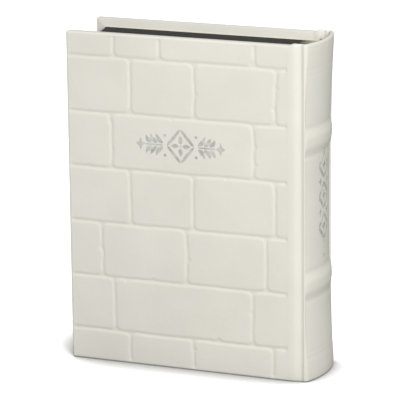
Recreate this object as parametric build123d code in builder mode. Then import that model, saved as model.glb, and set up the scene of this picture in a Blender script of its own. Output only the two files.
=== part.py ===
"""A padded, case-bound prayer book standing on its tail.

Frame: +Z runs from the tail (the lower edge, at z = 0) to the head.  The front cover faces -Y,
the spine faces +X and the fore edge faces -X.  The origin is at the middle of the foot of the
book's bounding box.

Inside the script, places across the book are given as (u, v): u runs from the fore edge of the
covers to the spine, and v from the face of the front cover to the face of the back cover.
"""
from build123d import *
from math import sqrt
import os

# ---------------------------------------------------------------- driving sizes, millimetres
cover_height = 175.0         # tail to head of the covers
board_width = 121.0          # fore edge of a cover to the spine-side edge of its board
joint_width = 8.2            # flexible joint between a board and the spine
head_square = 4.7            # the covers stand past the page block at head and tail

# layers of a cover, from its face inwards
leather = 0.9
padding = 0.9
board = 1.8
turn_in = 0.4                # pared leather folded over the inner face of the board
turn_in_width = 15.0
pastedown = 0.2
pastedown_margin = 4.5       # leather left showing round the pastedown

# page block
section_count = 16           # half of them turn with each cover
section_thickness = 2.1
fore_square = 5.4            # the covers stand past the outermost leaves at the fore edge
flyleaf = 0.25
leaf_gap = 0.1               # air between pastedown, flyleaf and first section
centre_gap = 0.2             # air between the two halves of the block
hinge_inset = 3.8            # from the joint's spine-side end back to the line the folds turn on
block_rounding = 2.6         # how far the middle fold stands out past the outer folds
fold_thickness = 0.3
fold_taper = 11.0            # length over which a section thins down to its fold
first_fold_overrun = 0.15    # the outermost fold stands this far past its turning line

# what holds the folds together, from the folds outwards
spine_gap = 0.3              # folds to tapes
tape_thickness = 0.3
tape_width = 10.0
tape_count = 3
thread_size = 0.3            # across the spine's depth
thread_width = 0.7           # along the height
thread_offset = 1.2          # thread to the edge of its tape
kettle_inset = 9.0           # kettle stitches from head and tail of the block
mull_clearance = 0.1
mull_thickness = 0.2
mull_inset = 6.0
lining_clearance = 0.05
lining_thickness = 0.4
lining_overrun = 1.4         # lining past the block at head and tail, behind the headbands
headband_height = 1.5
headband_lift = 0.15         # clear of the sections that turn under it
headband_inset = 1.0         # how far it reaches over the folds
headband_outset = 0.6

# case spine
spine_radius = 45.0          # leather's outer face over the spine
shoulder_radius = 2.8
shoulder_drop = 1.2          # crest of the shoulder below the face of the cover
groove_drop = 2.3            # bottom of the joint groove below the face of the cover
groove_offset = 1.4          # bottom of the groove from the joint's spine-side end
groove_run = 2.6             # width of the slope from the ridge down to the groove
card = 1.0                   # spine stiffener
card_clearance = 0.05
card_span_inset = 3.6        # card and turn-ins stop this far inside both cover faces
band_rise = 0.9
band_height = 9.0
band_offset = 37.5           # each raised band from mid height
band_span_inset = 4.5

# edges
edge_radius = 1.6            # outer edges of the covers
corner_radius = 1.5          # fore-edge corners of the covers

# foil ornaments
foil = 0.1
title_centre_u = 63.0
title_centre_z = 119.0
title_margin = 1.5           # debossed panel past the ornament
title_lozenge = 9.0          # width; lozenges are twice as high as wide
title_side_lozenge = 5.0
title_bar_length = 10.0
title_bar_height = 1.2
spine_lozenge_width = 8.0
spine_lozenge_share = 0.9    # of the room that each lozenge has along the spine
spine_foil_length = 48.0
spine_foil_margin = 1.0      # from the upper raised band's leather down to the first lozenge
spine_foil_count = 5
spine_foil_gap = 0.02

# ---------------------------------------------------------------- sizes that follow
turn_in_start = leather + padding + board            # v of the turn-ins' outer side
cover_inner = turn_in_start + turn_in                # v of the leather's inner side
pastedown_inner = cover_inner + pastedown
flyleaf_start = pastedown_inner + leaf_gap
block_start = flyleaf_start + flyleaf + leaf_gap
block_half = section_count / 2 * section_thickness
depth = 2 * (block_start + block_half) + centre_gap  # face of one cover to face of the other
middle = depth / 2

spine_edge = board_width + joint_width               # u where joint meets spine
shoulder_v = shoulder_drop + shoulder_radius
arc_u = spine_edge - sqrt((spine_radius - shoulder_radius) ** 2 - (middle - shoulder_v) ** 2)
apex_u = arc_u + spine_radius
width = apex_u + band_rise

block_low = head_square
block_high = cover_height - head_square
pivot_u = spine_edge - hinge_inset                   # line that flyleaves and sections turn on
half_span = block_half + centre_gap / 2
fold_radius = (half_span ** 2 + block_rounding ** 2) / (2 * block_rounding)
fold_arc_u = pivot_u + first_fold_overrun + block_rounding - fold_radius
section_width = pivot_u + first_fold_overrun - fore_square
mid_height = cover_height / 2

title_side_reach = title_lozenge / 2 + title_side_lozenge
title_bar_reach = title_side_reach + title_side_lozenge + title_bar_length / 2
panel_half_width = title_bar_reach + title_bar_length / 2 + title_margin
panel_half_height = title_lozenge + title_margin


def place(u, v):
    """Point of the XY plane at (u, v) across the book."""
    return (u - width / 2, v - middle)


def side_v(side, v):
    """The v of something v deep from the face of the cover on that side."""
    return v if side == "front" else depth - v


def finish(piece, name):
    """Label a finished piece and write it to its own file."""
    piece.part.label = name
    export_step(piece.part, f"parts/{name}.step")


def slab(side, u_span, v_span, z_span, mode=Mode.ADD):
    """A flat-sided layer of a cover."""
    low_v, high_v = sorted(side_v(side, v) for v in v_span)
    x, y = place(sum(u_span) / 2, (low_v + high_v) / 2)
    with Locations((x, y, sum(z_span) / 2)):
        Box(u_span[1] - u_span[0], high_v - low_v, z_span[1] - z_span[0], mode=mode)


def spine_points(offset):
    """The spine's cross-section, moved outwards by offset, as five points with their arc middles."""
    big = spine_radius + offset
    small = shoulder_radius + offset
    rise = (middle - shoulder_v) / (spine_radius - shoulder_radius)
    run = sqrt(1 - rise ** 2)
    half_turn = (sqrt((1 + rise) / 2), sqrt((1 - rise) / 2))
    crest = (spine_edge, shoulder_v - small)
    shoulder = (spine_edge + small * half_turn[1], shoulder_v - small * half_turn[0])
    tangent = (arc_u + big * run, middle - big * rise)
    top = (arc_u + big, middle)
    return crest, shoulder, tangent, top


def mirrored(point):
    """The same point on the back cover's side."""
    return point[0], depth - point[1]


def spine_edge_line(offset):
    """Arcs of the spine's cross-section from the front shoulder to the back one."""
    crest, shoulder, tangent, top = spine_points(offset)
    ThreePointArc(place(*crest), place(*shoulder), place(*tangent))
    ThreePointArc(place(*tangent), place(*top), place(*mirrored(tangent)))
    ThreePointArc(place(*mirrored(tangent)), place(*mirrored(shoulder)), place(*mirrored(crest)))


def spine_shell(inner, outer, z_low, z_high, span_inset=0.0, mode=Mode.ADD):
    """A wall that follows the spine between two offsets of its outer face."""
    with BuildSketch(Plane.XY.offset(z_low), mode=Mode.PRIVATE) as wall:
        with BuildLine():
            spine_edge_line(outer)
            spine_edge_line(inner)
            inner_crest = spine_points(inner)[0]
            outer_crest = spine_points(outer)[0]
            Line(place(*inner_crest), place(*outer_crest))
            Line(place(*mirrored(inner_crest)), place(*mirrored(outer_crest)))
        make_face()
        if span_inset:
            Rectangle(2 * width, depth - 2 * span_inset, mode=Mode.INTERSECT)
    extrude(wall.sketch, amount=z_high - z_low, dir=(0, 0, 1), mode=mode)


def fold_arc_point(radius, v):
    """Point at height v on an arc about the centre that the folds are rounded on."""
    return place(fold_arc_u + sqrt(radius ** 2 - (v - middle) ** 2), v)


def fold_shell(inner, outer, z_low, z_high, v_inset=0.0):
    """A wall that follows the folds of the block between two distances outside them."""
    v_low = middle - half_span + v_inset
    v_high = middle + half_span - v_inset
    with BuildSketch(Plane.XY.offset(z_low), mode=Mode.PRIVATE) as wall:
        with BuildLine():
            for gap in (inner, outer):
                radius = fold_radius + gap
                ThreePointArc(
                    fold_arc_point(radius, v_low),
                    fold_arc_point(radius, middle),
                    fold_arc_point(radius, v_high),
                )
            for v in (v_low, v_high):
                Line(fold_arc_point(fold_radius + inner, v), fold_arc_point(fold_radius + outer, v))
        make_face()
    extrude(wall.sketch, amount=z_high - z_low, dir=(0, 0, 1))


def lozenge(centre, long_half, short_half):
    """A lozenge about a point of the open sketch."""
    corners = [(-long_half, 0), (0, -short_half), (long_half, 0), (0, short_half)]
    with Locations(centre):
        Polygon(*corners, align=(Align.NONE, Align.NONE))


os.makedirs("parts", exist_ok=True)

# ---------------------------------------------------------------- covers
for side in ("front", "back"):
    full_height = (0, cover_height)
    inside_height = (leather, cover_height - leather)
    inside_u = (leather, board_width)
    window_u = (turn_in_width, board_width)
    window_z = (turn_in_width, cover_height - turn_in_width)

    with BuildPart() as cover_leather:
        slab(side, (0, board_width), (0, cover_inner), full_height)
        fore_edges = cover_leather.edges().filter_by(Axis.Y).group_by(Axis.X)[0]
        fillet(fore_edges, corner_radius)
        outer_face = cover_leather.faces().sort_by(Axis.Y)[0 if side == "front" else -1]
        fillet(outer_face.edges().sort_by(Axis.X)[:-1], edge_radius)
        slab(side, inside_u, (leather, turn_in_start), inside_height, mode=Mode.SUBTRACT)
        slab(side, window_u, (turn_in_start, cover_inner), window_z, mode=Mode.SUBTRACT)
        if side == "front":
            panel_u = (title_centre_u - panel_half_width, title_centre_u + panel_half_width)
            panel_z = (title_centre_z - panel_half_height, title_centre_z + panel_half_height)
            slab(side, panel_u, (0, foil), panel_z, mode=Mode.SUBTRACT)
    finish(cover_leather, f"{side}_cover_leather")

    with BuildPart() as cover_padding:
        slab(side, inside_u, (leather, leather + padding), inside_height)
    finish(cover_padding, f"{side}_padding")

    with BuildPart() as cover_board:
        slab(side, inside_u, (leather + padding, turn_in_start), inside_height)
    finish(cover_board, f"{side}_board")

    with BuildPart() as board_liner:
        slab(side, window_u, (turn_in_start, cover_inner), window_z)
    finish(board_liner, f"{side}_board_liner")

    with BuildPart() as paste_sheet:
        slab(
            side,
            (pastedown_margin, board_width),
            (cover_inner, pastedown_inner),
            (pastedown_margin, cover_height - pastedown_margin),
        )
    finish(paste_sheet, f"{side}_pastedown")

    with BuildPart() as fly_sheet:
        slab(
            side,
            (fore_square, pivot_u),
            (flyleaf_start, flyleaf_start + flyleaf),
            (block_low, block_high),
        )
    finish(fly_sheet, f"{side}_flyleaf")

    # The joint: a soft ridge beside the board, a pressed groove, and a run up to the shoulder.
    groove_u = spine_edge - groove_offset
    ridge_u = groove_u - groove_run
    crest_outer = spine_points(0.0)[0]
    crest_inner = spine_points(-leather)[0]
    with BuildPart() as joint_leather:
        with BuildSketch():
            with BuildLine():
                for ridge_v, groove_v, crest in (
                    (0, groove_drop, crest_outer),
                    (cover_inner, groove_drop + leather, crest_inner),
                ):
                    Line((board_width, ridge_v), (ridge_u, ridge_v))
                    Bezier(
                        (ridge_u, ridge_v), (ridge_u + groove_run / 2, ridge_v),
                        (groove_u - groove_run / 2, groove_v), (groove_u, groove_v),
                    )
                    Bezier(
                        (groove_u, groove_v), (groove_u + groove_offset / 2, groove_v),
                        (spine_edge - groove_offset / 2, crest[1]), crest,
                    )
                Line((board_width, 0), (board_width, cover_inner))
                Line(crest_outer, crest_inner)
            make_face()
        extrude(amount=cover_height)
        if side == "back":
            mirror(joint_leather.part, about=Plane.XZ.offset(-middle), mode=Mode.REPLACE)
    joint_leather.part = joint_leather.part.moved(Location((-width / 2, -middle, 0)))
    finish(joint_leather, f"{side}_joint_leather")

# ---------------------------------------------------------------- page block
for index in range(section_count):
    from_front = index < section_count / 2
    section_v = block_start + (index + 0.5) * section_thickness + (0 if from_front else centre_gap)
    end_u = fold_arc_u + sqrt(fold_radius ** 2 - (section_v - middle) ** 2)
    half = section_thickness / 2
    half_fold = fold_thickness / 2
    with BuildPart() as section:
        with BuildSketch(Plane.XY.offset(block_low)):
            with BuildLine():
                Polyline(
                    place(end_u, section_v - half_fold),
                    place(end_u, section_v + half_fold),
                    place(end_u - fold_taper, section_v + half),
                    place(end_u - section_width, section_v + half),
                    place(end_u - section_width, section_v - half),
                    place(end_u - fold_taper, section_v - half),
                    close=True,
                )
            make_face()
        extrude(amount=block_high - block_low)
    finish(section, f"section_{index + 1:02d}")

# ---------------------------------------------------------------- sewing and linings
tape_pitch = (block_high - block_low) / (tape_count + 1)
tape_heights = [block_low + tape_pitch * (n + 1) for n in range(tape_count)]

with BuildPart() as sewing_tapes:
    for z in tape_heights:
        fold_shell(spine_gap, spine_gap + tape_thickness, z - tape_width / 2, z + tape_width / 2)
finish(sewing_tapes, "sewing_tapes")

thread_reach = tape_width / 2 + thread_offset
stitch_heights = [block_low + kettle_inset, block_high - kettle_inset]
stitch_heights += [z + way * thread_reach for z in tape_heights for way in (-1, 1)]
with BuildPart() as sewing_thread:
    for z in stitch_heights:
        fold_shell(
            spine_gap, spine_gap + thread_size, z - thread_width / 2, z + thread_width / 2,
            v_inset=section_thickness / 2,
        )
finish(sewing_thread, "sewing_thread")

mull_start = spine_gap + tape_thickness + mull_clearance
with BuildPart() as spine_mull:
    fold_shell(
        mull_start, mull_start + mull_thickness, block_low + mull_inset, block_high - mull_inset
    )
finish(spine_mull, "spine_mull")

lining_start = mull_start + mull_thickness + lining_clearance
with BuildPart() as spine_lining:
    fold_shell(
        lining_start, lining_start + lining_thickness,
        block_low - lining_overrun, block_high + lining_overrun,
    )
finish(spine_lining, "spine_lining")

for name, z_low in (
    ("head_band", block_high + headband_lift),
    ("tail_band", block_low - headband_lift - headband_height),
):
    with BuildPart() as end_band:
        fold_shell(
            -headband_inset, headband_outset, z_low, z_low + headband_height,
            v_inset=section_thickness / 2,
        )
    finish(end_band, name)

# ---------------------------------------------------------------- spine of the case
card_outer = -leather - card_clearance
card_inner = card_outer - card
fold_in_outer = card_inner - card_clearance
fold_in_inner = fold_in_outer - turn_in
band_heights = (mid_height - band_offset, mid_height + band_offset)

with BuildPart() as spine_leather:
    spine_shell(-leather, 0, 0, cover_height)
    for z in band_heights:
        low = z - band_height / 2
        high = z + band_height / 2
        spine_shell(0, band_rise, low - leather, high + leather, band_span_inset - leather)
        spine_shell(
            -leather, band_rise - leather, low, high, band_span_inset, mode=Mode.SUBTRACT
        )
    for cap_low, cap_high, fold_low, fold_high in (
        (0, leather, leather, turn_in_width),
        (cover_height - leather, cover_height, cover_height - turn_in_width, cover_height - leather),
    ):
        spine_shell(fold_in_inner, -leather, cap_low, cap_high, card_span_inset)
        spine_shell(fold_in_inner, fold_in_outer, fold_low, fold_high, card_span_inset)
finish(spine_leather, "spine_leather")

with BuildPart() as spine_card:
    spine_shell(card_inner, card_outer, leather, cover_height - leather, card_span_inset)
finish(spine_card, "spine_card")

for name, z in zip(("lower_raised_band", "upper_raised_band"), band_heights):
    with BuildPart() as raised_band:
        spine_shell(
            -leather, band_rise - leather, z - band_height / 2, z + band_height / 2,
            band_span_inset,
        )
    finish(raised_band, name)

# ---------------------------------------------------------------- foil ornaments
title_x, _ = place(title_centre_u, 0)
with BuildPart() as front_foil:
    with BuildSketch(Plane.XZ.offset(middle)) as title_sketch:
        lozenge((title_x, title_centre_z), title_lozenge / 2, title_lozenge)
        for way in (-1, 1):
            lozenge(
                (title_x + way * title_side_reach, title_centre_z),
                title_side_lozenge / 2, title_side_lozenge,
            )
            with Locations((title_x + way * title_bar_reach, title_centre_z)):
                Rectangle(title_bar_length, title_bar_height)
    extrude(amount=-foil)
finish(front_foil, "front_foil_ornament")

upper_band_foot = band_heights[1] - band_height / 2 - leather
spine_foil_high = upper_band_foot - spine_foil_margin
spine_foil_low = spine_foil_high - spine_foil_length
foil_pitch = spine_foil_length / spine_foil_count
foil_heights = [spine_foil_low + foil_pitch * (n + 0.5) for n in range(spine_foil_count)]
with BuildPart() as spine_foil:
    spine_shell(spine_foil_gap, spine_foil_gap + foil, spine_foil_low, spine_foil_high)
    with BuildSketch(Plane.YZ) as lozenges:
        for z in foil_heights:
            lozenge((0, z), spine_lozenge_width / 2, foil_pitch * spine_lozenge_share / 2)
    extrude(amount=width, mode=Mode.INTERSECT)
finish(spine_foil, "spine_foil_ornament")
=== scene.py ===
"""A padded, case-bound prayer book: embossed leather, foil, endpapers and page block.

Run as a script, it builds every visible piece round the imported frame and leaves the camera,
the lights and the floor ready to render.
"""
from math import asin, ceil, cos, pi, radians, sin, sqrt

import bpy
import numpy as np
from mathutils import Matrix, Vector, noise


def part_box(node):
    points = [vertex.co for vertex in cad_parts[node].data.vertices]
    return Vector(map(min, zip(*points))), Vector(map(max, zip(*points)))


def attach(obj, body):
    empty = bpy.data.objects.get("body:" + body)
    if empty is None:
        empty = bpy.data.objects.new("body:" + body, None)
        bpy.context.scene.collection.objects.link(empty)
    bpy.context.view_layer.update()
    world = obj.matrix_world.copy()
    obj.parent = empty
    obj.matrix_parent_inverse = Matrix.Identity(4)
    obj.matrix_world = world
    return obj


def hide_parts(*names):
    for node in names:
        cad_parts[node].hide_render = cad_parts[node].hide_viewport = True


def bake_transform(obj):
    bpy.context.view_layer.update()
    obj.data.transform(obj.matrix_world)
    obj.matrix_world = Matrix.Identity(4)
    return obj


bl_info = {
    "name": "Padded Prayer Book",
    "version": (1, 0, 0),
    "blender": (4, 5, 0),
    "location": "3D View > Sidebar > Prayer Book",
    "description": "Builds a padded prayer book with a stone-block embossed case",
    "category": "Mesh",
}

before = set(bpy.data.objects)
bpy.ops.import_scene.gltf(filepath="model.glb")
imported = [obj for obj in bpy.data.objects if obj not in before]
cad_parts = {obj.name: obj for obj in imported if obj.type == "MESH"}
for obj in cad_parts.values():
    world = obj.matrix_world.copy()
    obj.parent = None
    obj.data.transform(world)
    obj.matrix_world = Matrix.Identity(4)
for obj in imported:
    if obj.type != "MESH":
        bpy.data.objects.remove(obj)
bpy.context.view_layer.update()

MM = 0.001

# ---- places read from the frame
LEATHER_LOW, LEATHER_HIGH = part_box("front_cover_leather")
SPINE_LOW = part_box("spine_leather")[0]
PASTEDOWN_LOW, PASTEDOWN_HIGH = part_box("front_pastedown")
FLYLEAF_LOW, FLYLEAF_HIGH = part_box("front_flyleaf")
HEAD_LOW, HEAD_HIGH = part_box("head_band")
TAIL_LOW, TAIL_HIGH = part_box("tail_band")
FORE_X = LEATHER_LOW.x                        # fore edge of the boards
BOARD_X = LEATHER_HIGH.x                      # spine-side edge of the boards
JOINT_X = SPINE_LOW.x                         # where joint and spine leather meet
FRONT_Y = LEATHER_LOW.y                       # face of the front cover
COVER_DEPTH = LEATHER_HIGH.y - LEATHER_LOW.y  # face to inner side of a cover
HEIGHT = LEATHER_HIGH.z
SPINE_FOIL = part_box("spine_foil_ornament")
FRONT_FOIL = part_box("front_foil_ornament")
PIVOT_X = FLYLEAF_HIGH.x                      # fold line of flyleaves and sections
SECTIONS = sorted(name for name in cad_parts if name.startswith("section_"))
BANDS = [sum(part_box(name)[i][2] for i in (0, 1)) / 2
         for name in ("lower_raised_band", "upper_raised_band")]

# ---- build of the case, in metres
LEATHER = 0.9 * MM            # leather thickness
CARD = 1.0 * MM               # spine card thickness
TURN_IN_WIDTH = 15 * MM
LINER = 0.4 * MM              # liner card, as deep as the frame of turned-in leather
COVER_ROUND = 0.5 * MM        # roundness of a cover's inner edges
FACE_DEPTH = 0.15 * MM        # stones lie this far below the highest line of the case
JOINT_THICK = 1.3 * MM        # least thickness of the joint
HEAD_RISE = 0.8 * MM          # joint and spine leather stand this far above the covers
RIM_RADIUS = 1.15 * MM        # roundness of the spine's head and tail
SHOULDER = 2.4 * MM           # radius where the spine turns into the joint
SPINE_RADIUS = 50 * MM
SHOULDER_Y = -SPINE_LOW.y - SHOULDER
SPINE_CENTRE_X = JOINT_X - sqrt((SPINE_RADIUS - SHOULDER) ** 2 - SHOULDER_Y ** 2)
ARC_HALF = asin(SHOULDER_Y / (SPINE_RADIUS - SHOULDER))

BAND_TOP = 1.6 * MM           # half the width of a raised band's top, and of its foot
BAND_FOOT = 7.2 * MM
FOLD_TAPER = 11 * MM          # length over which a section thins down to its fold
FOLD_HALF = 0.15 * MM         # half its thickness there
FOIL_ROOT = 0.1 * MM          # how deep the foil is pressed in

# Outer side of a joint, in millimetres: distance from the board and depth of the ridge, of the
# pressed groove and of the shoulder beyond it.
JOINT_ACROSS = (-1.2, 0.0, 1.0, 2.0, 3.0, 4.0, 4.8, 5.5, 6.1, 6.7, 7.2, 7.6, 7.9, 8.2)
JOINT_DEPTH = (0.15, 0.15, 0.18, 0.26, 0.40, 0.72, 1.12, 1.48, 1.70, 1.77, 1.68, 1.53, 1.38, 1.2)

# Upright joints between stones in each course, from the tail: distance from the fore edge
# and how far the joint strays from a straight line, both in millimetres.
STONE_JOINTS = (
    ((33.4, 0.3), (69.0, 0.5), (113.0, 0.3)),
    ((25.0, 0.35), (101.6, 0.5)),
    ((18.3, 0.8), (65.5, 0.7), (109.2, 0.4)),
    ((34.6, 0.45), (69.5, 0.35), (114.0, 0.5)),
    ((24.7, 0.5), (102.7, 0.7)),
    ((35.5, 0.4), (70.5, 0.5), (114.4, 1.1)),
    ((26.4, 0.4), (51.7, 0.4), (103.2, 0.4)),
)
# Chips in the stones' edges: distance from the fore edge, height, size, all in millimetres.
CHIPS = (
    (18.5, 137.5, 2.2), (23.6, 129.5, 1.9), (26.5, 118.0, 1.6), (49.0, 158.5, 2.0),
    (72.3, 146.5, 1.8), (100.9, 165.0, 2.4), (103.9, 121.5, 1.8), (104.2, 112.0, 1.6),
    (66.8, 59.0, 2.0), (17.2, 61.5, 2.2), (31.5, 45.0, 2.0), (83.0, 17.8, 2.6),
    (101.0, 34.5, 1.8), (46.5, 46.8, 1.7), (88.0, 103.6, 1.8), (12.0, 104.6, 2.0),
    (58.0, 132.0, 1.8), (112.6, 142.0, 1.8), (115.6, 152.5, 1.7), (70.2, 11.0, 1.8),
)

# Where the camera looks, from the fore edge and from the front cover's face, and its lens shift.
LOOK_AT = (63.9 * MM, 18.1 * MM)
LENS_SHIFT = (0.0100, -0.0046)
WAVES_PER_UNIT = 3.18         # waves that a wave texture of scale 1 draws in one unit


# ---- sizes and colours to change
def length(name, description, default):
    """A length property, given in millimetres and kept in metres."""
    return bpy.props.FloatProperty(
        name=name, description=description, default=default * MM, min=0.0, unit="LENGTH"
    )


def angle(name, description, default):
    """An angle property, given in degrees and kept in radians."""
    return bpy.props.FloatProperty(
        name=name, description=description, default=radians(default), subtype="ANGLE"
    )


def strength(name, description, default):
    """The strength of a light or of a floor's white."""
    return bpy.props.FloatProperty(name=name, description=description, default=default, min=0.0)


def colour(name, description, default):
    """A hex sRGB colour."""
    return bpy.props.StringProperty(name=name, description=description, default=default)


class CaseSettings(bpy.types.PropertyGroup):
    """The leather of the case."""

    leather_colour: colour("Leather", "Colour of the imitation leather", "E5E2D8")
    # Hollows: painted shade, a slightly darker, cooler colour laid in the pressed lines; the
    # smooth leather takes it too.
    hollow_colour: colour("Hollows", "Colour that settles in the pressed lines", "E4E2D7")
    mesh_step: length("Mesh step", "Distance between points of the embossed faces", 0.62)
    course_height: length("Course height", "Height of one course of stones", 29.15)
    first_course: length("First course", "Height of the lowest mortar line", 16.8)
    mortar_width: length("Mortar width", "Width of the pressed lines at their floor", 0.5)
    mortar_depth: length("Mortar depth", "Depth of the pressed lines", 0.36)
    stone_slope: length("Stone slope", "Width of a stone's sloping edge", 1.05)
    stone_radius: length("Stone corner", "Corner radius of the stones", 3.0)
    edge_radius: length("Edge radius", "Roundness of the padded edges", 1.15)
    band_rise: length("Band rise", "Height of the raised bands", 1.05)
    waist: length("Waist", "How far the spine draws in between head and tail", 2.4)


class FoilSettings(bpy.types.PropertyGroup):
    """The silver foil stamping."""

    foil_colour: colour("Foil", "Colour of the silver foil", "D8D7D0")
    foil_height: length("Foil height", "How far the foil stands off the leather", 0.06)


class BlockSettings(bpy.types.PropertyGroup):
    """The page block and its endpapers."""

    edge_colour: colour("Page edges", "Stain on the edges of the pages", "161616")
    page_colour: colour("Pages", "Colour of the page faces", "EDE5D0")
    endpaper_colour: colour("Endpapers", "Colour of the endpapers", "DFDCCB")
    leaf_pitch: length("Leaf pitch", "Spacing of the lines that leaves draw", 0.28)


class StageSettings(bpy.types.PropertyGroup):
    """Camera, lights and floor."""

    azimuth: angle("Azimuth", "Turn of the camera towards the spine", 22.16)
    elevation: angle("Elevation", "Camera above the horizon", 14.51)
    roll: angle("Roll", "Turn of the picture", -0.63)
    distance: length("Distance", "Camera to the middle of the book", 1433.0)
    focal_length: bpy.props.FloatProperty(
        name="Focal length", description="Lens in millimetres", default=249.33
    )
    key_power: strength("Key", "Power of the soft light from the upper right, in watts", 6.6)
    key_distance: length("Key distance", "Key light to the middle of the book", 1000.0)
    key_size: length("Key size", "Width of the key light", 450.0)
    key_azimuth: angle("Key azimuth", "Turn of the key light towards the spine", 33.0)
    key_elevation: angle("Key elevation", "Key light above the horizon", 24.0)
    sky_strength: strength("Sky", "Even light from the white studio", 0.62)
    floor_bounce: strength("Floor bounce", "Light that the floor gives back", 0.3)
    floor_glow: strength("Floor white", "How bright the floor itself looks", 2.1)


SETTINGS = {
    "case": CaseSettings, "foil": FoilSettings, "block": BlockSettings, "stage": StageSettings,
}


def settings(name):
    """One group of the settings kept with the scene."""
    return getattr(bpy.context.scene, "prayer_book_" + name)


# ---- small modelling tools
def linear(hex_colour):
    """A hex sRGB colour as linear red, green, blue and alpha."""
    parts = [int(hex_colour[i:i + 2], 16) / 255 for i in (0, 2, 4)]
    return [c / 12.92 if c <= 0.04045 else ((c + 0.055) / 1.055) ** 2.4 for c in parts] + [1.0]


def only(obj):
    """Make one object the only selected and active one."""
    bpy.ops.object.select_all(action="DESELECT")
    obj.select_set(True)
    bpy.context.view_layer.objects.active = obj


def edit(obj, action="SELECT"):
    """Open an object in edit mode with all or nothing selected."""
    only(obj)
    bpy.ops.object.mode_set(mode="EDIT")
    bpy.ops.mesh.select_mode(type="VERT")
    bpy.ops.mesh.select_all(action=action)


def done():
    """Leave edit mode."""
    bpy.ops.object.mode_set(mode="OBJECT")


def points_of(obj):
    """All points of a mesh as an array."""
    co = np.empty(len(obj.data.vertices) * 3)
    obj.data.vertices.foreach_get("co", co)
    return co.reshape(-1, 3)


def selected_points(obj):
    """Which points of a mesh are selected."""
    flags = np.empty(len(obj.data.vertices), dtype=bool)
    obj.data.vertices.foreach_get("select", flags)
    return flags


def move_points(obj, co):
    """Put all points of a mesh at new places."""
    obj.data.vertices.foreach_set("co", np.asarray(co, dtype=float).ravel())
    obj.data.update()


def grid(name, columns, rows):
    """A grid of columns by rows points, and the column and row of each point."""
    bpy.ops.object.select_all(action="DESELECT")
    bpy.ops.mesh.primitive_grid_add(x_subdivisions=columns - 1, y_subdivisions=rows - 1, size=2)
    obj = bpy.context.object
    obj.name = obj.data.name = name
    co = points_of(obj)
    column = np.rint((co[:, 0] + 1) / 2 * (columns - 1)).astype(int)
    row = np.rint((co[:, 1] + 1) / 2 * (rows - 1)).astype(int)
    return obj, column, row


def tidy(obj, smooth_angle=40.0, merge=0.000004):
    """Merge doubles, turn faces outwards and shade smooth up to an angle."""
    edit(obj)
    bpy.ops.mesh.remove_doubles(threshold=merge)
    bpy.ops.mesh.dissolve_degenerate(threshold=0.000001)
    bpy.ops.mesh.select_all(action="SELECT")
    bpy.ops.mesh.normals_make_consistent(inside=False)
    done()
    bpy.ops.object.shade_smooth_by_angle(angle=radians(smooth_angle))


def join(parts, name):
    """Join objects into the first one and name it."""
    bpy.ops.object.select_all(action="DESELECT")
    for part in parts:
        part.select_set(True)
    bpy.context.view_layer.objects.active = parts[0]
    if len(parts) > 1:
        bpy.ops.object.join()
    parts[0].name = parts[0].data.name = name
    return parts[0]


def mirrored(obj, name):
    """A copy of a front piece for the back of the book."""
    only(obj)
    bpy.ops.object.duplicate(linked=False)
    copy = bpy.context.object
    copy.name = copy.data.name = name
    move_points(copy, points_of(copy) * (1, -1, 1))
    edit(copy)
    bpy.ops.mesh.normals_make_consistent(inside=False)
    done()
    return copy


def smoothstep(low, high, value):
    """From 0 at low to 1 at high, with a soft start and end."""
    t = np.clip((np.asarray(value, dtype=float) - low) / (high - low), 0.0, 1.0)
    return t * t * (3 - 2 * t)


def noise_at(a, b, size, seed):
    """Smooth noise from -1 to 1 at 2-D points, with bumps of the given size."""
    a, b = np.broadcast_arrays(np.asarray(a, dtype=float), np.asarray(b, dtype=float))
    values = [noise.noise(Vector((p / size, q / size, seed)))
              for p, q in zip(a.ravel(), b.ravel())]
    return np.array(values).reshape(a.shape)


def quarter(radius, count=7):
    """Insets and depths of a quarter round, from its outer side to its flat face."""
    turn = np.linspace(0, pi / 2, count)
    return radius * (1 - np.cos(turn)), radius * (1 - np.sin(turn))


def spaced(start, end, step, fine_start=(0.0,), fine_end=(0.0,)):
    """Places from start to end about a step apart, with given finer ones at the ends."""
    head = [start + f for f in fine_start]
    tail = [end - f for f in reversed(list(fine_end))]
    count = max(1, ceil((tail[0] - head[-1]) / step))
    return np.array(head + list(np.linspace(head[-1], tail[0], count + 1)[1:-1]) + tail)


def closed_sweep(name, loops, smooth_angle=40.0):
    """A closed skin through a row of closed outlines, given as stations x points x 3."""
    loops = np.asarray(loops, dtype=float)
    stations, count = loops.shape[:2]
    obj, column, row = grid(name, stations, count + 1)
    move_points(obj, loops[column, row % count])
    edit(obj)
    bpy.ops.mesh.remove_doubles(threshold=0.000001)
    bpy.ops.mesh.select_all(action="SELECT")
    bpy.ops.mesh.fill_holes(sides=0)
    done()
    tidy(obj, smooth_angle)
    return obj


def put_attribute(obj, name, values):
    """A number on every point, for a material to read."""
    attribute = obj.data.attributes.new(name, "FLOAT", "POINT")
    attribute.data.foreach_set("value", np.asarray(values, dtype=np.float32))


def paint(obj, *materials):
    """Give an object its materials in order, in place of what it had."""
    for i, material in enumerate(materials):
        if i < len(obj.material_slots):
            obj.material_slots[i].material = material
        else:
            obj.data.materials.append(material)
    for extra in range(len(materials), len(obj.material_slots)):
        obj.material_slots[extra].material = materials[0]


def stand_in(obj, body, node):
    """Let an object ride a body in place of a node."""
    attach(obj, body)
    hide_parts(node)


# ---- materials
def add(nodes, kind, values=None, links=None, **attributes):
    """Add a shader node, set its attributes and inputs, and link other nodes' outputs to it."""
    node = nodes.new("ShaderNode" + kind)
    for name, value in attributes.items():
        setattr(node, name, value)
    for name, value in (values or {}).items():
        node.inputs[name].default_value = value
    for name, output in (links or {}).items():
        node.id_data.links.new(output, node.inputs[name])
    return node


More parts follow.
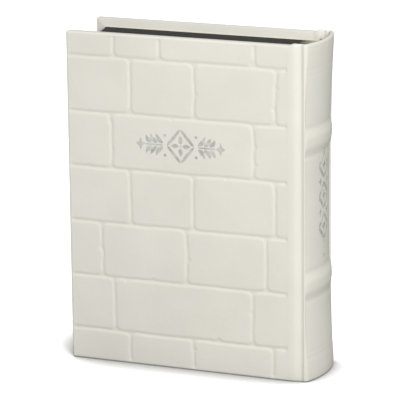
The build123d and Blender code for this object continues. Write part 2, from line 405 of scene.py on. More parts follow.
def start_material(name, roughness, **shader_values):
    """A material with its principled shader, object coordinates and node list."""
    material = bpy.data.materials.new(name)
    material.use_nodes = True
    nodes = material.node_tree.nodes
    shader = nodes["Principled BSDF"]
    shader.inputs["Roughness"].default_value = roughness
    for socket, value in shader_values.items():
        shader.inputs[socket.replace("_", " ")].default_value = value
    place = add(nodes, "TexCoord").outputs["Object"]
    return material, nodes, shader, place


def link(socket, output):
    """Join an output to a shader socket."""
    socket.id_data.links.new(output, socket)


def ramp(nodes, factor, stops):
    """A colour ramp from (position, hex) stops."""
    node = add(nodes, "ValToRGB", links={"Fac": factor})
    elements = node.color_ramp.elements
    while len(elements) < len(stops):
        elements.new(0.5)
    for element, (position, hex_colour) in zip(elements, stops):
        element.position = position
        element.color = linear(hex_colour)
    return node.outputs["Color"]


def bump(nodes, shader, strength, depth, height):
    """Relief from a height output that stands for a depth in millimetres."""
    node = add(nodes, "Bump", {"Strength": strength, "Distance": depth * MM}, {"Height": height})
    link(shader.inputs["Normal"], node.outputs["Normal"])


def roughen(nodes, shader, factor, low, high):
    """Roughness between two values."""
    node = add(nodes, "MapRange", {"To Min": low, "To Max": high}, {"Value": factor})
    link(shader.inputs["Roughness"], node.outputs["Result"])


def clouds_of(nodes, place, size, detail, **values):
    """Noise from 0 to 1 with bumps of a size in millimetres."""
    values.update(Scale=1 / (size * MM), Detail=detail)
    return add(nodes, "TexNoise", values, {"Vector": place}).outputs["Fac"]


def threads(nodes, place, pitch, axis, **values):
    """Waves from 0 to 1 along an axis, at a pitch in millimetres."""
    values["Scale"] = 1 / (pitch * MM) / WAVES_PER_UNIT
    return add(nodes, "TexWave", values, {"Vector": place}, bands_direction=axis).outputs["Fac"]


def plus(nodes, first, second, share):
    """One output plus a share of another."""
    return add(nodes, "Math", {1: share}, {0: second, 2: first},
               operation="MULTIPLY_ADD").outputs[0]


def tint(nodes, shader, factor, *stops):
    """Colour the surface by a ramp over a factor output."""
    link(shader.inputs["Base Color"], ramp(nodes, factor, stops))


def shade(hex_colour, factor):
    """A hex colour made lighter or darker."""
    parts = [min(255, round(int(hex_colour[i:i + 2], 16) * factor)) for i in (0, 2, 4)]
    return "".join("%02X" % p for p in parts)


def ivory_leather(hollows):
    """Embossed polyurethane leather on a fabric back: matt ivory, with a fine pebbled grain,
    painted shade in the pressed lines as a slightly darker, cooler tone, and that tone where it is
    smooth."""
    case = settings("case")
    name = "embossed_pu_leather" if hollows else "smooth_pu_leather"
    if name in bpy.data.materials:
        return bpy.data.materials[name]
    material, nodes, shader, place = start_material(name, 0.5, IOR=1.5,
                                                    Specular_IOR_Level=0.42)
    # Clouds about 35 mm across: uneven tone of the coated sheet.
    clouds = clouds_of(nodes, place, 35, 3.0)
    base = case.leather_colour if hollows else case.hollow_colour
    tone = ramp(nodes, clouds, ((0.3, shade(base, 0.985)), (0.7, shade(base, 1.012))))
    # Pebbled grain, 0.9 mm cells, as coarse as it needs to be to show.
    pebbles = add(nodes, "TexVoronoi", {"Scale": 1 / (0.9 * MM), "Randomness": 1.0},
                  {"Vector": place}, feature="SMOOTH_F1")
    # Fine creases, 2.6 mm, between the pebbles.
    creases = clouds_of(nodes, place, 2.6, 5.0, Roughness=0.62, Distortion=0.6)
    bump(nodes, shader, 0.28, 0.12, plus(nodes, pebbles.outputs["Distance"], creases, 0.55))
    roughen(nodes, shader, creases, 0.44, 0.6)
    # Painted shade: the pressed lines take the slightly darker hollow colour.
    if hollows:
        pressed = add(nodes, "Attribute", attribute_name="pressed")
        tone = mix(nodes, pressed.outputs["Fac"], tone, case.hollow_colour)
    link(shader.inputs["Base Color"], tone)
    return material


def mix(nodes, factor, first, second_hex):
    """A colour mixed with a plain hex colour by a factor output."""
    node = nodes.new("ShaderNodeMix")
    node.data_type = "RGBA"
    node.inputs[7].default_value = linear(second_hex)
    link(node.inputs[0], factor)
    link(node.inputs[6], first)
    return node.outputs[2]


def silver_foil():
    """Hot-stamped silver foil: satin metal that takes up the leather's grain, with tiny pinholes
    and cloudy patches where the stamp pressed less."""
    foil = settings("foil")
    name = "hot_stamped_silver_foil"
    if name in bpy.data.materials:
        return bpy.data.materials[name]
    material, nodes, shader, place = start_material(name, 0.38, Metallic=0.4)
    patches = clouds_of(nodes, place, 3.2, 4.0)
    tint(nodes, shader, patches, (0.25, shade(foil.foil_colour, 0.9)),
         (0.75, shade(foil.foil_colour, 1.1)))
    roughen(nodes, shader, patches, 0.3, 0.55)
    bump(nodes, shader, 0.3, 0.08, clouds_of(nodes, place, 0.7, 3.0))
    return material


def fibrous(name, hex_colour, roughness, fibre=0.6, spread=0.06, relief=0.05, **values):
    """Paper or board: matt, with short fibres a few tenths of a millimetre thick."""
    material, nodes, shader, place = start_material(name, roughness, **values)
    stretch = add(nodes, "Mapping", {"Scale": (1.0, 1.0, 0.35)}, {"Vector": place})
    fibres = clouds_of(nodes, stretch.outputs["Vector"], fibre, 5.0, Distortion=1.2)
    both = plus(nodes, fibres, clouds_of(nodes, place, 18, 2.0), 0.4)
    tint(nodes, shader, both, (0.35, shade(hex_colour, 1 - spread)),
         (0.95, shade(hex_colour, 1 + spread)))
    bump(nodes, shader, 0.5, relief, fibres)
    return material


def woven(name, hex_colour, pitch, along, across, dark=0.75, roughness=0.85):
    """Cloth: threads at a pitch in millimetres along two axes, with dark gaps."""
    material, nodes, shader, place = start_material(name, roughness, Sheen_Weight=0.2)
    waves = [threads(nodes, place, pitch, axis, Distortion=0.6, Detail=1.0)
             for axis in (along, across)]
    weave = add(nodes, "Math", links={0: waves[0], 1: waves[1]}, operation="MULTIPLY")
    tint(nodes, shader, weave.outputs[0], (0.05, shade(hex_colour, dark)), (0.6, hex_colour))
    bump(nodes, shader, 0.7, 0.15, weave.outputs[0])
    return material


def stained_edges():
    """Cut page edges, stained near-black and burnished: fine lines from the leaves, unevenly
    dark, with a faint waxy sheen."""
    block = settings("block")
    material, nodes, shader, place = start_material("stained_page_edges", 0.6,
                                                    Specular_IOR_Level=0.2)
    # Lines run across the block's thickness only, so the pattern is squeezed along x and z.
    flat = add(nodes, "Mapping", {"Scale": (0.02, 1.0, 0.02)}, {"Vector": place})
    leaves = clouds_of(nodes, flat.outputs["Vector"], block.leaf_pitch / MM, 3.0, Roughness=0.7)
    both = plus(nodes, leaves, clouds_of(nodes, place, 9, 4.0), 0.5)
    tint(nodes, shader, both, (0.45, shade(block.edge_colour, 0.7)), (0.7, block.edge_colour),
         (0.98, shade(block.edge_colour, 1.4)))
    bump(nodes, shader, 0.8, 0.12, leaves)
    return material


def striped_bead():
    """Head-band cloth over a cord: charcoal and pale grey threads wound side by side."""
    material, nodes, shader, place = start_material("wound_headband_thread", 0.8,
                                                    Sheen_Weight=0.3)
    tint(nodes, shader, threads(nodes, place, 2.4, "Y"), (0.44, "2E2E30"), (0.56, "A9A7A0"))
    bump(nodes, shader, 0.8, 0.15, threads(nodes, place, 0.5, "Y", Distortion=0.3))
    return material


# ---- shapes of the case
def stone_relief(x, z):
    """How deep the pressed lines between the stones lie, in metres, and that depth as a share."""
    case = settings("case")
    u = (x - FORE_X) / MM
    h = z / MM
    # Hand-cut look: every edge strays a little, in long waves and in short ones.
    u = u + 0.35 * noise_at(u, h, 15.0, 3.1) + 0.14 * noise_at(u, h, 3.2, 7.7)
    h = h + 0.40 * noise_at(u, h, 19.0, 11.3) + 0.16 * noise_at(u, h, 3.6, 5.9)
    first, tall = case.first_course / MM, case.course_height / MM
    course = np.clip(np.floor((h - first) / tall) + 1, 0, len(STONE_JOINTS) - 1).astype(int)
    low = np.where(course > 0, first + (course - 1) * tall, -50)
    high = np.where(course < len(STONE_JOINTS) - 1, first + course * tall, 250)
    left = np.full(u.shape, -50.0)
    right = np.full(u.shape, 250.0)
    for number, joints in enumerate(STONE_JOINTS):
        here = course == number
        for place, stray in joints:
            line = place + stray * noise_at(np.full(u.shape, place), h, 6.5, 2.3 + number)
            before = here & (u >= line)
            left = np.where(before, np.maximum(left, line), left)
            after = here & (u < line)
            right = np.where(after, np.minimum(right, line), right)
    half = case.mortar_width / MM / 2
    side = np.minimum(u - left, right - u) - half
    level = np.minimum(h - low, high - h) - half
    radius = case.stone_radius / MM
    inside = np.minimum(side, level)
    corner = (side < radius) & (level < radius)
    inside = np.where(corner, radius - np.hypot(radius - side, radius - level), inside)
    for place, height, size in CHIPS:
        near = np.hypot(u - place, (h - height) * 0.8)
        inside = inside - 0.55 * size * np.exp(-(near / (0.45 * size)) ** 2)
    slope = case.stone_slope / MM
    pressed = 1 - smoothstep(-0.15, slope, inside)
    dome = 0.10 * np.exp(-np.maximum(inside, 0) / 5.0)
    uneven = 0.035 * noise_at(u, h, 9.0, 21.0) + 0.02 * noise_at(u, h, 3.0, 23.0)
    depth = (pressed * case.mortar_depth / MM + dome + uneven * (1 - pressed)) * MM
    return depth, pressed


def cover_depth(x, z):
    """Depth of the front cover's face below the plane of its highest line, and how pressed."""
    case = settings("case")
    radius = case.edge_radius
    depth, pressed = stone_relief(x, z)
    from_end = np.minimum(z, HEIGHT - z)
    fade = (smoothstep(0.2 * MM, 2.6 * MM, x - FORE_X) * smoothstep(0.2 * MM, 2.6 * MM, from_end)
            * smoothstep(0, 1.1 * MM, BOARD_X - x))
    a = np.clip((radius - (x - FORE_X)) / radius, 0, 1)
    b = np.clip((radius - from_end) / radius, 0, 1)
    a, b = a * np.sqrt(1 - b * b / 2), b * np.sqrt(1 - a * a / 2)
    rounding = radius * (1 - np.sqrt(np.clip(1 - a * a - b * b, 0, 1)))
    return FACE_DEPTH + rounding + depth * fade, pressed * fade, a, b


def joint_depth(x):
    """Depth of the outer side of the joint: a rounded ridge, the pressed groove, the shoulder."""
    across, depth = np.array(JOINT_ACROSS), np.array(JOINT_DEPTH)
    at = np.asarray((x - BOARD_X) / MM, dtype=float)
    # A smooth line through the places above.
    slopes = np.gradient(depth, across)
    slopes[[0, 1]] = 0
    slopes[-1] = 0
    i = np.clip(np.searchsorted(across, at, side="right") - 1, 0, len(across) - 2)
    width = across[i + 1] - across[i]
    t = (at - across[i]) / width
    value = ((2 * t ** 3 - 3 * t ** 2 + 1) * depth[i] + (t ** 3 - 2 * t ** 2 + t) * width
             * slopes[i] + (3 * t ** 2 - 2 * t ** 3) * depth[i + 1] + (t ** 3 - t ** 2) * width
             * slopes[i + 1])
    return value * MM


def spine_place(turn, out, z, draw_in=0.0):
    """A point of the spine: turn is the angle from its apex, out is outwards from its skin."""
    turn, out, z, draw_in = np.broadcast_arrays(turn, out, z, draw_in)
    on_arc = np.abs(turn) <= ARC_HALF
    centre_x = np.where(on_arc, SPINE_CENTRE_X, JOINT_X)
    centre_y = np.where(on_arc, 0.0, SHOULDER_Y * np.sign(turn))
    radius = np.where(on_arc, SPINE_RADIUS, SHOULDER) + out
    return np.stack([centre_x + radius * np.cos(turn) - draw_in,
                     centre_y + radius * np.sin(turn), z], axis=-1)


def head_rise(z, share=1.0):
    """How far the leather over joint and spine is pushed up at the head, above the covers."""
    return HEAD_RISE * smoothstep(HEIGHT - 14 * MM, HEIGHT - 2.5 * MM, z) * share


def spine_turns(limit=pi / 2):
    """Angles across the spine's back, finer on the two shoulders."""
    side = np.linspace(ARC_HALF, limit, 13)
    arc = np.linspace(-ARC_HALF, ARC_HALF, 41)
    return np.concatenate([-side[::-1], arc[1:-1], side])


def spine_waist(turn, z):
    """How far the spine is drawn in: it is hollow-backed and stands out at head and tail."""
    from_end = np.minimum(z, HEIGHT - z)
    deep = np.sin(pi / 2 * np.clip((from_end - 4 * MM) / (72 * MM), 0, 1))
    return settings("case").waist * deep * (1 - smoothstep(radians(24), radians(82), np.abs(turn)))


def band_height(turn, z):
    """Height of the raised bands, which fade out on the shoulders."""
    near = np.min([np.abs(z - centre) for centre in BANDS], axis=0)
    swell = 1 - smoothstep(BAND_TOP, BAND_FOOT, near)
    return settings("case").band_rise * swell * (
        1 - smoothstep(radians(16), radians(66), np.abs(turn)))


def band_creases(turn, z):
    """Shallow lines where the leather is nipped beside the bands and over the turned-in edge."""
    from_end = np.minimum(z, HEIGHT - z)
    near = np.min([np.abs(z - centre) for centre in BANDS], axis=0)
    lines = (0.14 * np.exp(-((from_end - 12.6 * MM) / (0.7 * MM)) ** 2)
             + 0.11 * np.exp(-((from_end - 15.4 * MM) / (0.7 * MM)) ** 2)
             + 0.16 * np.exp(-((near - 7.6 * MM) / (0.9 * MM)) ** 2))
    return lines * MM * (1 - smoothstep(radians(30), radians(75), np.abs(turn)))


# ---- pieces
class PieceOperator:
    """What all operators of this book share."""

    bl_options = {"REGISTER", "UNDO"}

    def execute(self, context):
        self.build()
        return {"FINISHED"}


class MESH_OT_book_covers(PieceOperator, bpy.types.Operator):
    """Build the embossed leather of both covers, turned in round the boards"""

    bl_idname = "mesh.book_covers"
    bl_label = "Cover Leather"

    def build(self):
        case = settings("case")
        fine = quarter(case.edge_radius)[0]
        xs = spaced(FORE_X, BOARD_X, case.mesh_step, fine, (0.0, 0.35 * MM, 0.7 * MM))
        zs = spaced(0.0, HEIGHT, case.mesh_step, fine, fine)
        front, column, row = grid("front_cover_skin", len(xs), len(zs))
        x, z = xs[column], zs[row]
        depth, pressed, a, b = cover_depth(x, z)
        # The square corners of the grid are drawn in to round ones.
        radius = case.edge_radius
        x = np.where(a > 0, FORE_X + radius * (1 - a), x)
        low = z < HEIGHT / 2
        z = np.where(b > 0, np.where(low, radius * (1 - b), HEIGHT - radius * (1 - b)), z)
        move_points(front, np.stack([x, FRONT_Y + depth, z], axis=1))
        put_attribute(front, "pressed", pressed)
        self.turn_in(front)
        tidy(front)
        leather = ivory_leather(True)
        paint(front, leather)
        back = mirrored(front, "back_cover_skin")
        for obj, side in ((front, "front"), (back, "back")):
            stand_in(obj, side + "_cover", side + "_cover_leather")

    def turn_in(self, cover):
        """Carry the leather round the board: side, inner edge, turned-in frame, back of it."""
        board, bevel = COVER_DEPTH - LINER, 0.3 * COVER_ROUND
        rings = ((0.0, COVER_DEPTH - COVER_ROUND), (bevel, COVER_DEPTH - bevel),
                 (COVER_ROUND, COVER_DEPTH), (TURN_IN_WIDTH, COVER_DEPTH),
                 (TURN_IN_WIDTH, board), (LEATHER, board), (LEATHER, LEATHER))
        edit(cover, "DESELECT")
        bpy.ops.mesh.select_non_manifold(extend=False)
        for inset, depth in rings:
            bpy.ops.mesh.extrude_region_move()
            done()
            flags = selected_points(cover)
            co = points_of(cover)
            ring = co[flags]
            ring[:, 0] = np.clip(ring[:, 0], FORE_X + inset, BOARD_X - min(inset, 0.05 * MM))
            ring[:, 2] = np.clip(ring[:, 2], inset, HEIGHT - inset)
            ring[:, 1] = FRONT_Y + depth
            co[flags] = ring
            move_points(cover, co)
            bpy.ops.object.mode_set(mode="EDIT")
        bpy.ops.mesh.select_all(action="SELECT")
        bpy.ops.mesh.fill_holes(sides=0)
        done()


class MESH_OT_book_joints(PieceOperator, bpy.types.Operator):
    """Build the leather joints: ridge, pressed groove and shoulder"""

    bl_idname = "mesh.book_joints"
    bl_label = "Joint Leather"

    def build(self):
        case = settings("case")
        xs = np.linspace(BOARD_X, JOINT_X, 43)
        share = (xs - BOARD_X) / (JOINT_X - BOARD_X)
        outer = joint_depth(xs)
        inner = np.maximum(COVER_DEPTH - 1.7 * MM * smoothstep(0.2, 0.9, share),
                           outer + JOINT_THICK)
        loops = []
        for x, top, bottom, t in zip(xs, outer, inner, share):
            thick = bottom - top
            big = min(case.edge_radius + (RIM_RADIUS - case.edge_radius) * t, 0.62 * thick)
            small = min((0.5 + 0.65 * t) * MM, 0.36 * thick)
            big_in, big_deep = quarter(big)
            small_in, small_deep = quarter(small, 5)
            side_z = np.concatenate([np.linspace(HEIGHT / 2, big, 30), big_in[::-1][1:],
                                     small_in, np.linspace(small, HEIGHT / 2, 9)[1:]])
            side_v = np.concatenate([np.full(30, top), (top + big_deep)[::-1][1:],
                                     bottom - small_deep, np.full(8, bottom)])
            z = np.concatenate([side_z, (HEIGHT - side_z)[::-1][1:-1]])
            v = np.concatenate([side_v, side_v[::-1][1:-1]])
            z = z + head_rise(z, smoothstep(0.02, 0.4, t))
            loops.append(np.stack([np.full(len(z), x), FRONT_Y + v, z], axis=1))
        front = closed_sweep("front_joint_skin", loops)
        put_attribute(front, "pressed", np.zeros(len(front.data.vertices)))
        paint(front, ivory_leather(False))
        back = mirrored(front, "back_joint_skin")
        for obj, side in ((front, "front"), (back, "back")):
            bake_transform(obj)
            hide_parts(side + "_joint_leather")


class MESH_OT_book_spine(PieceOperator, bpy.types.Operator):
    """Build the spine leather over its card and raised bands"""

    bl_idname = "mesh.book_spine"
    bl_label = "Spine"

    def build(self):
        rim, rim_deep = quarter(RIM_RADIUS)
        thick = 2 * RIM_RADIUS
        end_z = np.concatenate([rim[::-1], rim[1:], [TURN_IN_WIDTH, TURN_IN_WIDTH,
                                                     1.1 * MM, 1.1 * MM]])
        end_deep = np.concatenate([rim_deep[::-1], (thick - rim_deep)[1:],
                                   [thick, thick - 0.35 * MM, thick - 0.35 * MM, LEATHER]])
        middle = spaced(RIM_RADIUS, HEIGHT - RIM_RADIUS, 0.9 * MM)[1:-1]
        inner = spaced(1.1 * MM, HEIGHT - 1.1 * MM, 2.2 * MM)[1:-1]
        # From the tail end of the outer side up to the head, round it and back down inside.
        z = np.concatenate([middle, HEIGHT - end_z, inner[::-1], end_z[::-1]])
        deep = np.concatenate([0 * middle, end_deep, 0 * inner + LEATHER, end_deep[::-1]])
        turns = spine_turns()[:, None]
        skin_share = (deep <= LEATHER + 1e-9).astype(float)
        out = (-deep + (band_height(turns, z) - band_creases(turns, z) * (deep < 0.5 * LEATHER))
               * skin_share)
        skin = closed_sweep("spine_skin", spine_place(turns, out, z + head_rise(z),
                                                      spine_waist(turns, z)), 50)
        paint(skin, ivory_leather(False))
        stand_in(skin, "spine", "spine_leather")

        turns = spine_turns(radians(46))[:, None]
        z = spaced(1.2 * MM, HEIGHT - 1.2 * MM, 3 * MM)
        z, deep = np.concatenate([z, z[::-1]]), np.repeat([LEATHER + 0.02 * MM, LEATHER + CARD],
                                                          len(z))
        card = closed_sweep("spine_card_stiffener",
                            spine_place(turns, -deep, z, spine_waist(turns, z)))
        paint(card, fibrous("rolled_manila_card", "B8AD98", 0.75, 0.8))
        stand_in(card, "spine", "spine_card")

        turns = spine_turns(radians(40))[:, None]
        for centre, name in zip(BANDS, ("lower_raised_band", "upper_raised_band")):
            z = np.linspace(centre - 6.4 * MM, centre + 6.4 * MM, 17)
            rise = np.maximum(band_height(turns, z) - 0.02 * MM, 0.01 * MM)
            z = np.concatenate([z, z[::-1]])
            out = np.concatenate([rise, 0 * rise[:, ::-1]], axis=1) - LEATHER
            pad = closed_sweep(name + "_strip", spine_place(turns, out, z,
                                                            spine_waist(turns, z)))
            paint(pad, fibrous("band_card", "A89C86", 0.8, 0.7))
            stand_in(pad, "spine", name)


# ---- foil ornaments
def lozenge(x, z, wide, tall):
    """A four-pointed stamp with hollowed sides."""
    turn = np.linspace(0, 2 * pi, 17)[:-1]
    reach = 1 - 0.52 * np.abs(np.sin(2 * turn)) ** 0.8
    return np.stack([x + wide * reach * np.cos(turn), z + tall * reach * np.sin(turn)], axis=1)


def bead(x, z, radius):
    turn = np.linspace(0, 2 * pi, 15)[:-1]
    return np.stack([x + radius * np.cos(turn), z + radius * np.sin(turn)], axis=1)


def leaf(x, z, long, wide, turn, curl=0.12):
    """A pointed leaf growing from a place in a direction given in degrees."""
    t = np.linspace(0, 1, 8)
    half = wide / 2 * np.sin(pi * t ** 0.8) ** 0.9
    spine = curl * long * np.sin(pi * t)
    along = np.concatenate([t, t[::-1][1:-1]]) * long
    side = np.concatenate([spine + half, (spine - half)[::-1][1:-1]])
    c, s = cos(radians(turn)), sin(radians(turn))
    return np.stack([x + c * along - s * side, z + s * along + c * side], axis=1)


def bar(x0, z0, x1, z1, wide):
    """A straight stroke with tapering ends."""
    dx, dz = x1 - x0, z1 - z0
    long = np.hypot(dx, dz)
    t = np.array([0, 0.12, 0.5, 0.88, 1, 0.88, 0.5, 0.12])
    side = np.array([0, 0.42, 0.5, 0.42, 0, -0.42, -0.5, -0.42]) * wide
    return np.stack([x0 + dx * t - dz / long * side, z0 + dz * t + dx / long * side], axis=1)


def lozenge_frame(x, z, wide, tall, stroke):
    """Four strokes round a lozenge."""
    tops = [(x + wide, z), (x, z + tall), (x - wide, z), (x, z - tall)]
    return [bar(*tops[i], *tops[(i + 1) % 4], stroke) for i in range(4)]


def framed_flower(x, z, wide, tall, stroke, petal):
    """A lozenge frame with a four-leaved flower in it."""
    shapes = lozenge_frame(x, z, wide, tall, stroke)
    shapes += [leaf(x + 0.9 * cos(radians(t)), z + 0.9 * sin(radians(t)), petal, petal * 0.5, t,
                    0.0) for t in (0, 90, 180, 270)]
    return shapes + [bead(x, z, 0.55)]


def stamped(name, shapes, place, height):
    """Foil shapes, in millimetres on a flat plan, laid on a surface and given their thickness."""
    parts = []
    for outline in shapes:
        bpy.ops.object.select_all(action="DESELECT")
        bpy.ops.mesh.primitive_circle_add(vertices=len(outline), radius=1, fill_type="NGON")
        parts.append(bpy.context.object)
        move_points(parts[-1], np.column_stack([outline, np.zeros(len(outline))]))
    foil = join(parts, name)
    edit(foil)
    bpy.ops.mesh.extrude_region_move()
    done()
    top = selected_points(foil)
    co = points_of(foil) * MM
    move_points(foil, place(co[:, 0], co[:, 1], np.where(top, height, -FOIL_ROOT)))
    tidy(foil, 30, merge=0.0000005)
    paint(foil, silver_foil())
    return foil


class MESH_OT_book_foil(PieceOperator, bpy.types.Operator):
    """Stamp the silver ornaments on the front cover and down the spine"""

    bl_idname = "mesh.book_foil"
    bl_label = "Foil Ornaments"

    def build(self):
        height = settings("foil").foil_height
        middle = (FRONT_FOIL[0] + FRONT_FOIL[1]) / 2
        shapes = framed_flower(0, 0, 7.4, 8.8, 1.7, 4.6)
        for side in (-1, 1):
            turned = 0 if side > 0 else 180
            shapes.append(bar(side * 9.2, 0, side * 19.6, 0, 0.9))
            for at, long in ((9.6, 6.4), (12.9, 6.0), (16.0, 5.0)):
                for lift in (-1, 1):
                    shapes.append(leaf(side * at, lift * 0.8, long, 2.3,
                                       turned + side * lift * 52, -0.1 * side * lift))
            shapes.append(lozenge(side * 22.0, 0, 2.5, 3.4))
            shapes += [bead(side * 8.6, lift * 5.2, 0.8) for lift in (-1, 1)]

        def on_cover(s, t, out):
            x, z = middle.x + s, middle.z + t
            return np.stack([x, FRONT_Y + cover_depth(x, z)[0] - out, z], axis=1)

        front = stamped("front_foil_stamping", shapes, on_cover, height)
        stand_in(front, "front_cover", "front_foil_ornament")

        middle = (SPINE_FOIL[0] + SPINE_FOIL[1]) / 2
        shapes = []
        for at in (-16.0, 0.0, 16.0):
            shapes += lozenge_frame(0, at, 6.2, 6.9, 2.0) + [lozenge(0, at, 2.6, 3.2)]
        for at in (-8.0, 8.0):
            shapes += [lozenge(side * 4.6, at, 1.7, 2.6) for side in (-1, 1)]
        shapes += [bead(0, 24.2, 0.8), bead(0, -24.2, 0.8), bead(0, -27.5, 0.6),
                   lozenge(0, -31.5, 1.3, 1.8)]

        def on_spine(s, t, out):
            turn, z = s / SPINE_RADIUS, middle.z + t
            out = out + band_height(turn, z) - band_creases(turn, z)
            return spine_place(turn, out, z, spine_waist(turn, z))

        spine = stamped("spine_foil_stamping", shapes, on_spine, height)
        stand_in(spine, "spine", "spine_foil_ornament")


# ---- the page block
class MESH_OT_book_sections(PieceOperator, bpy.types.Operator):
    """Build the folded sections of the page block"""

    bl_idname = "mesh.book_sections"
    bl_label = "Page Sections"

    def build(self):
        boxes = [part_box(name) for name in SECTIONS]
        middles = [(low.y + high.y) / 2 for low, high in boxes]
        fores = [low.x for low, high in boxes]
        edges, pages = stained_edges(), fibrous(
            "uncoated_book_paper", settings("block").page_colour, 0.85, 0.5, 0.04)
        low, high = boxes[0]
        # The outline of one section seen from the head, from its fore edge round its fold.
        back = np.concatenate([np.linspace(0, 1, 10), np.linspace(1, 0, 10)])
        full = (high.y - low.y) / 2
        half = np.where(np.arange(20) < 10, -1, 1) * (full - (full - FOLD_HALF) * back)
        outline = np.concatenate([[(0.0, half[-1]), (0.0, half[0])],
                                  np.stack([back, half], axis=1)])
        along = np.concatenate([[0, 0], np.ones(20)])
        for name, (low, high) in zip(SECTIONS, boxes):
            start = high.x - FOLD_TAPER
            x = np.where(along > 0, start + outline[:, 0] * (FOLD_TAPER - 0.02 * MM), low.x)
            y = (low.y + high.y) / 2 + outline[:, 1]
            # The two middle sections meet.
            y = np.where(np.abs(y) < 0.15 * MM, 0.005 * MM * np.sign(y), y)
            # The fore edge runs on from section to section in one hollow curve.
            x[:2] = np.interp(y[:2], middles, fores)
            x[:2] = np.maximum(x[:2], low.x)
            loops = [np.stack([x, y, np.full(len(x), z)], axis=1) for z in (low.z, high.z)]
            section = closed_sweep(name + "_leaves", loops, 30)
            paint(section, edges, pages)
            self.pick_pages(section)
            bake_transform(section)
            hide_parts(name)

    def pick_pages(self, section):
        """Give the broad sides and the fold the page paper, and leave the cut edges stained."""
        for face in section.data.polygons:
            cut = abs(face.normal.z) > 0.9 or face.normal.x < -0.7
            face.material_index = 0 if cut else 1


class MESH_OT_book_endpapers(PieceOperator, bpy.types.Operator):
    """Build the hinge strips that join pastedown and flyleaf, and paper both"""

    bl_idname = "mesh.book_endpapers"
    bl_label = "Endpapers"

    def build(self):
        paper = fibrous("laid_endpaper", settings("block").endpaper_colour, 0.8, 0.7, 0.035)
        share = np.linspace(0, 1, 15)
        turn = smoothstep(0, 1, share)
        xs = PASTEDOWN_HIGH.x + (PIVOT_X - PASTEDOWN_HIGH.x) * share
        low = PASTEDOWN_LOW.y + (FLYLEAF_LOW.y - PASTEDOWN_LOW.y) * turn
        high = PASTEDOWN_HIGH.y + (FLYLEAF_HIGH.y - PASTEDOWN_HIGH.y) * turn
        loops = []
        for x, a, b in zip(xs, low, high):
            z = spaced(FLYLEAF_LOW.z, FLYLEAF_HIGH.z, 8 * MM)
            loops.append(np.stack([np.full(2 * len(z), x), np.repeat([a, b], len(z)),
                                   np.concatenate([z, z[::-1]])], axis=1))
        front = closed_sweep("front_endpaper_hinge", loops)
        paint(front, paper)
        back = mirrored(front, "back_endpaper_hinge")
        for obj, side in ((front, "front"), (back, "back")):
            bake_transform(obj)
            for node in ("_pastedown", "_flyleaf"):
                paint(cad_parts[side + node], paper)


class MESH_OT_book_headbands(PieceOperator, bpy.types.Operator):
    """Build the rounded, striped bands at the head and tail of the page block"""

    bl_idname = "mesh.book_headbands"
    bl_label = "Head and Tail Bands"

    def build(self):
        cloth = striped_bead()
        turn = np.linspace(0, 2 * pi, 17)[:-1]
        for node, low, high in (("head_band", HEAD_LOW, HEAD_HIGH),
                                ("tail_band", TAIL_LOW, TAIL_HIGH)):
            radius = (high.z - low.z) / 2
            middle = (high.z + low.z) / 2
            rows = []
            for y in np.linspace(low.y, high.y, 49):
                bow = (high.x - low.x - 2.2 * radius) * (y / high.y) ** 2
                lift = 1 + 0.04 * sin(y / (0.5 * MM) * pi)
                rows.append(np.stack([high.x - 1.1 * radius - bow
                                      + 0.96 * radius * lift * np.cos(turn),
                                      np.full(16, y),
                                      middle + 0.96 * radius * lift * np.sin(turn)], axis=1))
            bead_cord = closed_sweep(node + "_bead", rows)
            paint(bead_cord, cloth)
            stand_in(bead_cord, "spine", node)


class MESH_OT_book_inside(PieceOperator, bpy.types.Operator):
    """Give the parts inside the case and behind the block their own finishes"""

    bl_idname = "mesh.book_inside"
    bl_label = "Inside Parts"

    def build(self):
        foam = fibrous("polyether_foam_sheet", "EFECDF", 0.95, 0.45, 0.05, 0.12)
        board = fibrous("grey_binders_board", "8F897B", 0.9, 0.9, 0.08)
        card = fibrous("manila_liner_card", "C7BB9F", 0.8, 0.8)
        kraft = fibrous("brown_kraft_lining", "A88C66", 0.8, 0.7, 0.07)
        tape = woven("woven_cotton_tape", "E0DAC6", 0.6, "Y", "Z")
        mull = woven("starched_cotton_mull", "D9D2BD", 1.1, "Y", "Z", dark=0.5)
        thread = woven("waxed_linen_thread", "DAD0B8", 0.5, "Z", "Y", roughness=0.6)
        finishes = {"sewing_tapes": tape, "sewing_thread": thread, "spine_mull": mull,
                    "spine_lining": kraft}
        for side in ("front", "back"):
            finishes.update({side + "_padding": foam, side + "_board": board,
                             side + "_board_liner": card})
        for node, material in finishes.items():
            paint(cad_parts[node], material)


# ---- stage
def direction(azimuth, elevation):
    """Unit vector from the book to a place round it."""
    return Vector((sin(azimuth) * cos(elevation), -cos(azimuth) * cos(elevation),
                   sin(elevation)))


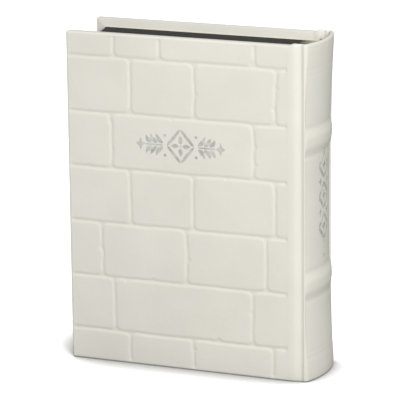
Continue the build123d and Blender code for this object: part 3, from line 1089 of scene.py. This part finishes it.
class SCENE_OT_book_stage(PieceOperator, bpy.types.Operator):
    """Set up the floor, the soft lights and the camera"""

    bl_idname = "scene.book_stage"
    bl_label = "Stage"

    def build(self):
        stage = settings("stage")
        scene = bpy.context.scene
        scene.view_settings.view_transform = "Standard"
        scene.view_settings.look = "None"
        self.floor()
        world = bpy.data.worlds.new("studio")
        world.use_nodes = True
        backdrop = world.node_tree.nodes["Background"]
        backdrop.inputs["Color"].default_value = (1, 1, 1, 1)
        backdrop.inputs["Strength"].default_value = stage.sky_strength
        scene.world = world
        towards = direction(stage.key_azimuth, stage.key_elevation)
        middle = Vector((0, 0, HEIGHT / 2))
        bpy.ops.object.light_add(type="AREA", location=middle + towards * stage.key_distance)
        key = bpy.context.object
        key.name = "key"
        key.rotation_euler = towards.to_track_quat("Z", "Y").to_euler()
        key.data.energy = stage.key_power
        key.data.size = stage.key_size

        back = direction(stage.azimuth, stage.elevation)
        right = Vector((cos(stage.azimuth), sin(stage.azimuth), 0))
        up = back.cross(right)
        c, s = cos(stage.roll), sin(stage.roll)
        right, up = right * c + up * s, up * c - right * s
        target = Vector((FORE_X + LOOK_AT[0], FRONT_Y + LOOK_AT[1], HEIGHT / 2))
        bpy.ops.object.camera_add()
        camera = bpy.context.object
        camera.name = "camera"
        camera.matrix_world = Matrix.Translation(target + back * stage.distance) @ Matrix(
            (right, up, back)).transposed().to_4x4()
        camera.data.lens = stage.focal_length
        camera.data.sensor_width = 36.0
        camera.data.shift_x, camera.data.shift_y = LENS_SHIFT
        camera.data.clip_start = 0.05
        scene.camera = camera

    def floor(self):
        """A plain pale sweep of matt painted board, with a painted contact shadow where the book
        stands.
        """
        bpy.ops.object.select_all(action="DESELECT")
        bpy.ops.mesh.primitive_plane_add(size=14)
        floor = bpy.context.object
        floor.name = "floor"
        material, nodes, shader, place = start_material("matt_white_board", 0.9)
        stage = settings("stage")
        level = add(nodes, "MapRange", {"To Min": 0.97, "To Max": 1.0},
                    {"Value": clouds_of(nodes, place, 25, 2.0)})
        # The floor looks white, but throws little light back up at the book.
        seen = add(nodes, "LightPath")
        white = add(nodes, "MapRange", {"To Min": stage.floor_bounce, "To Max": stage.floor_glow},
                    {"Value": seen.outputs["Is Camera Ray"]})
        # Painted contact shadow: ambient occlusion darkens the floor's colour in a soft dark line
        # where the book stands.
        near = add(nodes, "AmbientOcclusion", {"Distance": 0.036}, samples=16)
        painted_contact_shadow = add(nodes, "MapRange", {"From Min": 0.5, "From Max": 0.99, "To Min": 0.27},
                      {"Value": near.outputs["AO"]})
        level = add(nodes, "Math", links={0: level.outputs["Result"],
                                          1: painted_contact_shadow.outputs["Result"]}, operation="MULTIPLY")
        tone = add(nodes, "Math", links={0: level.outputs[0], 1: white.outputs["Result"]},
                   operation="MULTIPLY")
        matt = add(nodes, "BsdfDiffuse", links={"Color": tone.outputs[0]})
        link(nodes["Material Output"].inputs["Surface"], matt.outputs["BSDF"])
        nodes.remove(shader)
        paint(floor, material)


# ---- panel and registration
STEPS = (MESH_OT_book_covers, MESH_OT_book_joints, MESH_OT_book_spine, MESH_OT_book_foil,
         MESH_OT_book_sections, MESH_OT_book_endpapers, MESH_OT_book_headbands,
         MESH_OT_book_inside, SCENE_OT_book_stage)


class VIEW3D_PT_prayer_book(bpy.types.Panel):
    """Sizes, colours and building steps of the prayer book"""

    bl_idname = "VIEW3D_PT_prayer_book"
    bl_label = "Prayer Book"
    bl_space_type = "VIEW_3D"
    bl_region_type = "UI"
    bl_category = "Prayer Book"

    def draw(self, context):
        for name in SETTINGS:
            box = self.layout.box()
            box.label(text=name.capitalize())
            group = settings(name)
            for prop in group.__annotations__:
                box.prop(group, prop)
        for step in STEPS:
            self.layout.operator(step.bl_idname)


CLASSES = tuple(SETTINGS.values()) + STEPS + (VIEW3D_PT_prayer_book,)


def register():
    for cls in CLASSES:
        bpy.utils.register_class(cls)
    for name, cls in SETTINGS.items():
        setattr(bpy.types.Scene, "prayer_book_" + name, bpy.props.PointerProperty(type=cls))


def unregister():
    for name in SETTINGS:
        delattr(bpy.types.Scene, "prayer_book_" + name)
    for cls in reversed(CLASSES):
        bpy.utils.unregister_class(cls)


def main():
    register()
    for step in STEPS:
        family, name = step.bl_idname.split(".")
        getattr(getattr(bpy.ops, family), name)()


if __name__ == "__main__":
    main()
